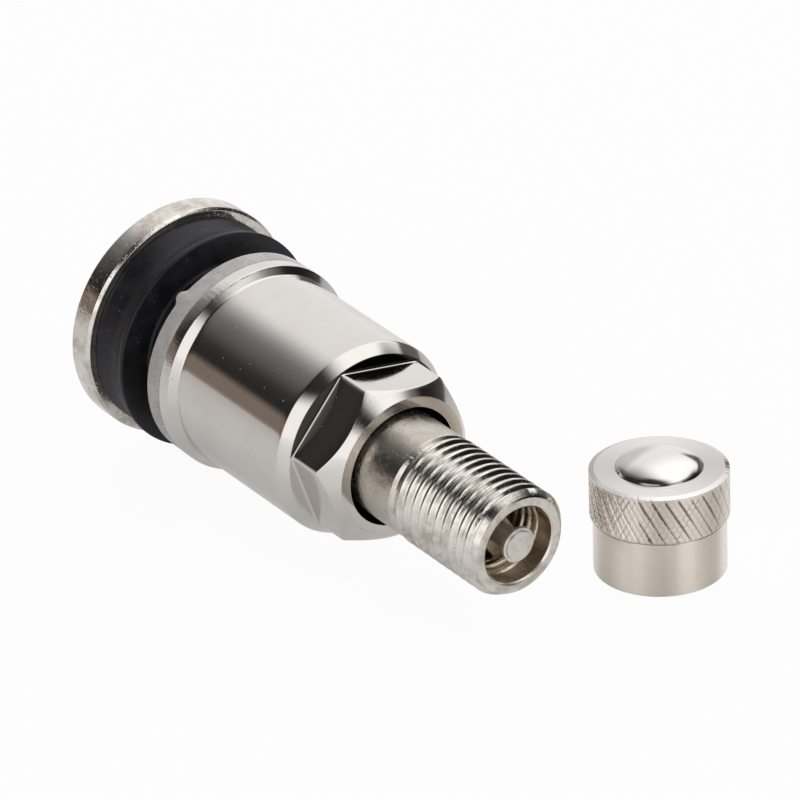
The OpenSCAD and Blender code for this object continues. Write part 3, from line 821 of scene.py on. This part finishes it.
# dust cap: plain skirt, knurled band, flat rim with a dome on it, threaded bore
cap = {
    "skirtRadius": 4.43, "skirtHigh": 3.85, "rimHigh": 7.43, "edge": 0.25, "soft": 0.06,
    "ledgeBelow": 0.1, "ledgeRound": 0.04, "bevelWide": 0.34, "bevelHigh": 0.14,
    "domeRadius": 5.2, "domeBend": 29, "domeRings": 20, "footHigh": 0.02,
    "shoulderRadius": 0.98, "domeSteep": 62, "shoulderRings": 8,
    "boreRadius": 3.93, "boreEdge": 0.06, "sealGroove": 0.2, "sealFit": 0.02,
    "pitch": 0.794, "threadDepth": 0.22, "threadStop": 0.05, "threadFade": 0.4, "boreRings": 6,
    "strokes": 33, "strokeLean": 30, "bandRings": 84, "bandInside": 0.15,
    "bandFade": 0.1, "topFade": 0.35, "topKeep": 0.35,
    "columnPlaces": (0, 0.04, 0.08, 0.13, 0.2, 0.27, 0.34, 0.42, 0.5),
    "deepCut": 0.1, "deepWidth": 0.14, "deepSeed": 3.1, "fineCut": 0.04, "fineWidth": 0.13,
    "crossCut": 0.05, "crossWidth": 0.2, "crossSeed": 8.4,
    "unevenness": 1.3, "unevenApart": 1.7, "unevenRise": 0.35, "unevenLeast": 0.2,
}


def arc(middle, radius, start, end, count):
    # points of a round about a middle, without the first
    turns = [start + (end - start) * step / count for step in range(1, count + 1)]
    return [(middle.x + radius * math.cos(turn), middle.y + radius * math.sin(turn)) for turn in turns]


def makeCap():
    capRadius = measure("cap_shell", standing)[2]
    sealLow, ceiling = measure("cap_seal", standing)[:2]
    soft, edge = cap["soft"], cap["edge"]
    skirt, bore = cap["skirtRadius"], cap["boreRadius"]
    bandLow, rim = cap["skirtHigh"], cap["rimHigh"]
    bandTop = rim - cap["bevelHigh"]

    # the dome is a shallow ball that turns over into a tighter shoulder
    upward = fullTurn / 4
    ball = cap["domeRadius"]
    shoulder = cap["shoulderRadius"]
    bend = math.radians(cap["domeBend"])
    steep = math.radians(cap["domeSteep"])
    domeHigh = ball * (1 - math.cos(bend)) + shoulder * (math.cos(bend) - math.cos(steep)) + cap["footHigh"]
    domeMiddle = Vector((0, rim + domeHigh - ball))
    shoulderMiddle = domeMiddle + Vector((math.sin(bend), math.cos(bend))) * (ball - shoulder)
    foot = shoulderMiddle.x + shoulder * math.sin(steep)

    sealLow -= cap["sealFit"]
    seat = bore + cap["sealGroove"]
    threadLow = 2 * cap["boreEdge"]
    boreRings = round((sealLow - threadLow) / cap["pitch"] * cap["boreRings"])
    outline = soften([
        (0, ceiling), (seat, ceiling), (seat, sealLow), (bore, sealLow),
        *stretch((bore, sealLow - cap["threadStop"]), (bore, threadLow), boreRings),
        (bore + cap["boreEdge"], 0), (skirt - edge / 2, 0, soft), (skirt, edge / 2, soft),
        (skirt, bandLow - cap["ledgeBelow"]), (skirt, bandLow, cap["ledgeRound"]),
        (capRadius - edge, bandLow, cap["ledgeRound"]),
        *stretch((capRadius, bandLow + edge), (capRadius, bandTop), cap["bandRings"]),
        (capRadius - cap["bevelWide"], rim, soft),
        (foot + cap["footHigh"], rim), (foot, rim + cap["footHigh"]),
        *arc(shoulderMiddle, shoulder, upward - steep, upward - bend, cap["shoulderRings"]),
        *arc(domeMiddle, ball, upward - bend, upward, cap["domeRings"]),
    ])
    perStroke = 2 * (len(cap["columnPlaces"]) - 1)
    columns = cap["strokes"] * perStroke
    piece = turnOnLathe("cap_knurled", outline, columns)
    lean = math.tan(math.radians(cap["strokeLean"])) / capRadius

    def uneven(number, height, seed):
        along = Vector((number * cap["unevenApart"] + seed, height * cap["unevenRise"], seed))
        return max(1 + cap["unevenness"] * noise.noise(along), cap["unevenLeast"])

    def stroke(away, width, cut):
        return max(1 - abs(away) / width, 0) * cut

    def rollKnurl(radius, angle, height):
        # columns crowd round each deep stroke and lean with it through the band
        column = round(angle / fullTurn * columns)
        number = math.floor(column / perStroke + 0.5)
        step = column - number * perStroke
        place = math.copysign(cap["columnPlaces"][abs(step)], step)
        twist = lean * (min(max(height, bandLow), rim) - bandLow)
        angle = (number + place) / cap["strokes"] * fullTurn - twist
        if radius > capRadius - cap["bandInside"] and bandLow < height < bandTop + touch:
            crossing = (angle - twist) / fullTurn * cap["strokes"] * 2
            nearest = math.floor(crossing + 0.5)
            deep = stroke(place, cap["deepWidth"], cap["deepCut"])
            deep *= uneven(number % cap["strokes"], height, cap["deepSeed"])
            fine = stroke(abs(place) - 0.5, cap["fineWidth"], cap["fineCut"])
            cross = stroke(crossing - nearest, cap["crossWidth"], cap["crossCut"])
            cross *= uneven(nearest % (2 * cap["strokes"]), height, cap["crossSeed"])
            depth = max(deep, fine, cross) * smoothStep(0, cap["bandFade"], height - bandLow)
            radius -= depth * max(smoothStep(0, cap["topFade"], bandTop - height), cap["topKeep"])
        elif abs(radius - bore) < touch and threadLow <= height < sealLow - cap["threadStop"] + touch:
            room = min(height - threadLow, sealLow - height)
            depth = screwDepth(angle, height, cap["pitch"]) * cap["threadDepth"]
            radius += depth * smoothStep(0, cap["threadFade"], room)
        return radius, angle, height

    moveRings(piece, rollKnurl)
    settle(piece, standing, "stem", "cap_shell", "satin_cap", smoothAngle=40)


makeCap()
print("cap knurled")

# solids that keep their own shape get their finish here
slotOfNode = {part["node"]: part["material_slot"] for part in frame["record"]["subparts"]}
for node in ("core_plug", "core_barrel", "core_cone_seal", "core_cup", "core_cup_seal", "cap_seal"):
    solid = frame["nodes"][node]
    solid.data.materials.clear()
    solid.data.materials.append(finishes[slotOfNode[node]])
print("core finished")

# white floor and the camera, which stands where the photo was taken from
studio = {
    "floorSize": 12000, "floorColour": (0.88, 0.88, 0.875), "floorRough": 0.1, "floorDensity": 1.9,
    "floorWhite": 0.955, "floorShine": 0.42,
    "azimuth": 53.784, "elevation": 26.676, "roll": 2.0045, "distance": 449.84, "aim": (-13.547, 9.492, 0.0),
    "focalPixels": 6451.1, "imagePixels": 800, "sensor": 36.0, "clipStart": 10,
}

# light of the room by direction: x, y and z of a unit vector, and turn in degrees about the upright
# pairs are where a level starts to change and where it has changed, fours also where it goes back
roomLight = {
    "tentFade": ((-0.65, 0.012), (-0.56, 0.032), (-0.43, 0.115), (-0.26, 0.195), (-0.16, 0.32),
                 (-0.07, 0.51), (0.03, 0.78), (0.13, 0.97), (0.25, 1.0)),
    "roofX": (-0.65, -0.2), "roofLift": 0.35, "endX": (-0.86, -0.745), "endLevel": 0.68,
    "gapX": (-0.2, 0.3), "gapZ": (0.57, 0.71),
    "doorX": (-0.6, -0.52), "doorZ": (0.32, 0.4), "doorDark": 0.9,
    "dimX": (-0.3, 0.0), "dimY": (-0.3, -0.02), "dimDark": 0.9,
    "glowY": (0.2, 0.5), "glowZ": (0.42, 0.6), "glowLevel": 0.25,
    "stripTurn": (-98, -72, -44, -34), "stripZ": (0.5, 0.72), "stripLevel": 1.25,
    "lowTurn": (-44, -34, -26, -14), "lowZ": (0.36, 0.58),
    "windowTurn": (-14, -4, 18, 30), "windowZ": (0.04, 0.1, 0.5, 0.62), "windowLevel": 1.1,
    "woodX": (-0.2, 0.2), "woodY": (-0.45, -0.2), "woodZ": (0.2, 0.3), "wood": (0.235, 0.188, 0.158),
    "woodGrain": 7.0, "woodFlat": 5.0, "woodLevels": (0.55, 1.25), "gloom": 0.014,
}


def layFloor():
    bpy.ops.object.select_all(action="DESELECT")
    bpy.ops.mesh.primitive_plane_add(size=studio["floorSize"] * mm)
    floor = bpy.context.object
    floor.name = "floor"
    finish = Finish("floor_white")
    finish.surface(
        Base_Color=(*studio["floorColour"], 1),
        Roughness=studio["floorRough"],
        IOR=studio["floorDensity"],
    )
    rays = finish.tree.nodes.new("ShaderNodeLightPath")
    seen = Wire(finish, rays.outputs["Is Camera Ray"])
    shine = Wire(finish, rays.outputs["Is Glossy Ray"])
    through = Wire(finish, rays.outputs["Is Transmission Ray"])
    white = finish.node("ShaderNodeEmission", None, {"Color": (1, 1, 1, 1), "Strength": 1.0})
    share = seen * studio["floorWhite"] + shine * studio["floorShine"] + through * studio["floorWhite"]
    sheet = Wire(finish, finish.shader.outputs[0])
    both = finish.node("ShaderNodeMixShader", None, {0: share, 1: sheet, 2: white})
    finish.feed(finish.tree.nodes["Material Output"].inputs["Surface"], both)
    floor.data.materials.append(finish.material)


def paintRoom():
    world = bpy.data.worlds.new("room")
    bpy.context.scene.world = world
    world.use_nodes = True
    room = Finish("room", world.node_tree)
    x, y, z = room.split(room.node("ShaderNodeTexCoord", output="Generated"))
    turn = room.around(x, y)

    # a white tent hangs over the far side, open to the right below its roof and dimmer in two places
    gap = room.reach(x, *roomLight["gapX"]) * room.below(z, *roomLight["gapZ"])
    door = room.reach(x, *roomLight["doorX"]) * room.below(z, *roomLight["doorZ"]) * roomLight["doorDark"]
    dim = room.reach(x, *roomLight["dimX"]) * room.below(y, *roomLight["dimY"]) * roomLight["dimDark"]
    fade = room.ramp((y + 1) * 0.5, [((place + 1) / 2, level) for place, level in roomLight["tentFade"]])
    tent = fade * room.reach(x, *roomLight["roofX"], 1.0, 1.0 + roomLight["roofLift"]) * (1 - gap)
    tent = tent * room.reach(x, *roomLight["endX"], roomLight["endLevel"], 1.0) * (1 - door) * (1 - dim)
    glow = gap * room.reach(z, *roomLight["glowZ"]) * room.reach(y, *roomLight["glowY"])

    # a light strip by the camera goes on lower to the right, up to a window
    strip = room.between(turn, *roomLight["stripTurn"]) * room.below(z, *roomLight["stripZ"])
    low = room.between(turn, *roomLight["lowTurn"]) * room.below(z, *roomLight["lowZ"])
    window = room.between(turn, *roomLight["windowTurn"]) * room.between(z, *roomLight["windowZ"])
    light = tent + glow * roomLight["glowLevel"] + (strip + low) * roomLight["stripLevel"]
    light = light + window * roomLight["windowLevel"] + roomLight["gloom"]

    # brown wood low on the left
    wood = room.below(z, *roomLight["woodZ"]) * room.below(y, *roomLight["woodY"])
    wood = wood * room.below(x, *roomLight["woodX"])
    flattened = room.vector(x, y, z * roomLight["woodFlat"])
    streaks = room.grain(flattened, roomLight["woodGrain"], detail=4.0, rough=0.65)
    wood = wood * room.reach(streaks, *midGrain, *roomLight["woodLevels"])
    seen = room.node("ShaderNodeLightPath", output="Is Camera Ray")   # the camera itself sees plain white
    colour = room.vector(*[(light + wood * part) * (1 - seen) + seen for part in roomLight["wood"]])
    room.feed(world.node_tree.nodes["Background"].inputs["Color"], colour)


def setCamera():
    azimuth, elevation, roll = [math.radians(studio[key]) for key in ("azimuth", "elevation", "roll")]
    outward = math.cos(elevation)
    back = Vector((math.sin(azimuth) * outward, -math.cos(azimuth) * outward, math.sin(elevation)))
    level = Vector((math.cos(azimuth), math.sin(azimuth), 0))
    upright = back.cross(level)
    right = level * math.cos(roll) - upright * math.sin(roll)
    up = back.cross(right)
    data = bpy.data.cameras.new("camera")
    data.sensor_fit = "HORIZONTAL"
    data.sensor_width = studio["sensor"]
    data.lens = studio["focalPixels"] / studio["imagePixels"] * studio["sensor"]
    data.clip_start = studio["clipStart"] * mm
    camera = bpy.data.objects.new("camera", data)
    bpy.context.scene.collection.objects.link(camera)
    turned = Matrix((right, up, back)).transposed().to_4x4()
    eye = Vector(studio["aim"]) + back * studio["distance"]
    camera.matrix_world = Matrix.Translation(eye * mm) @ turned
    bpy.context.scene.camera = camera


layFloor()
paintRoom()
setCamera()
bpy.context.scene.view_settings.view_transform = "Standard"
print("studio set")
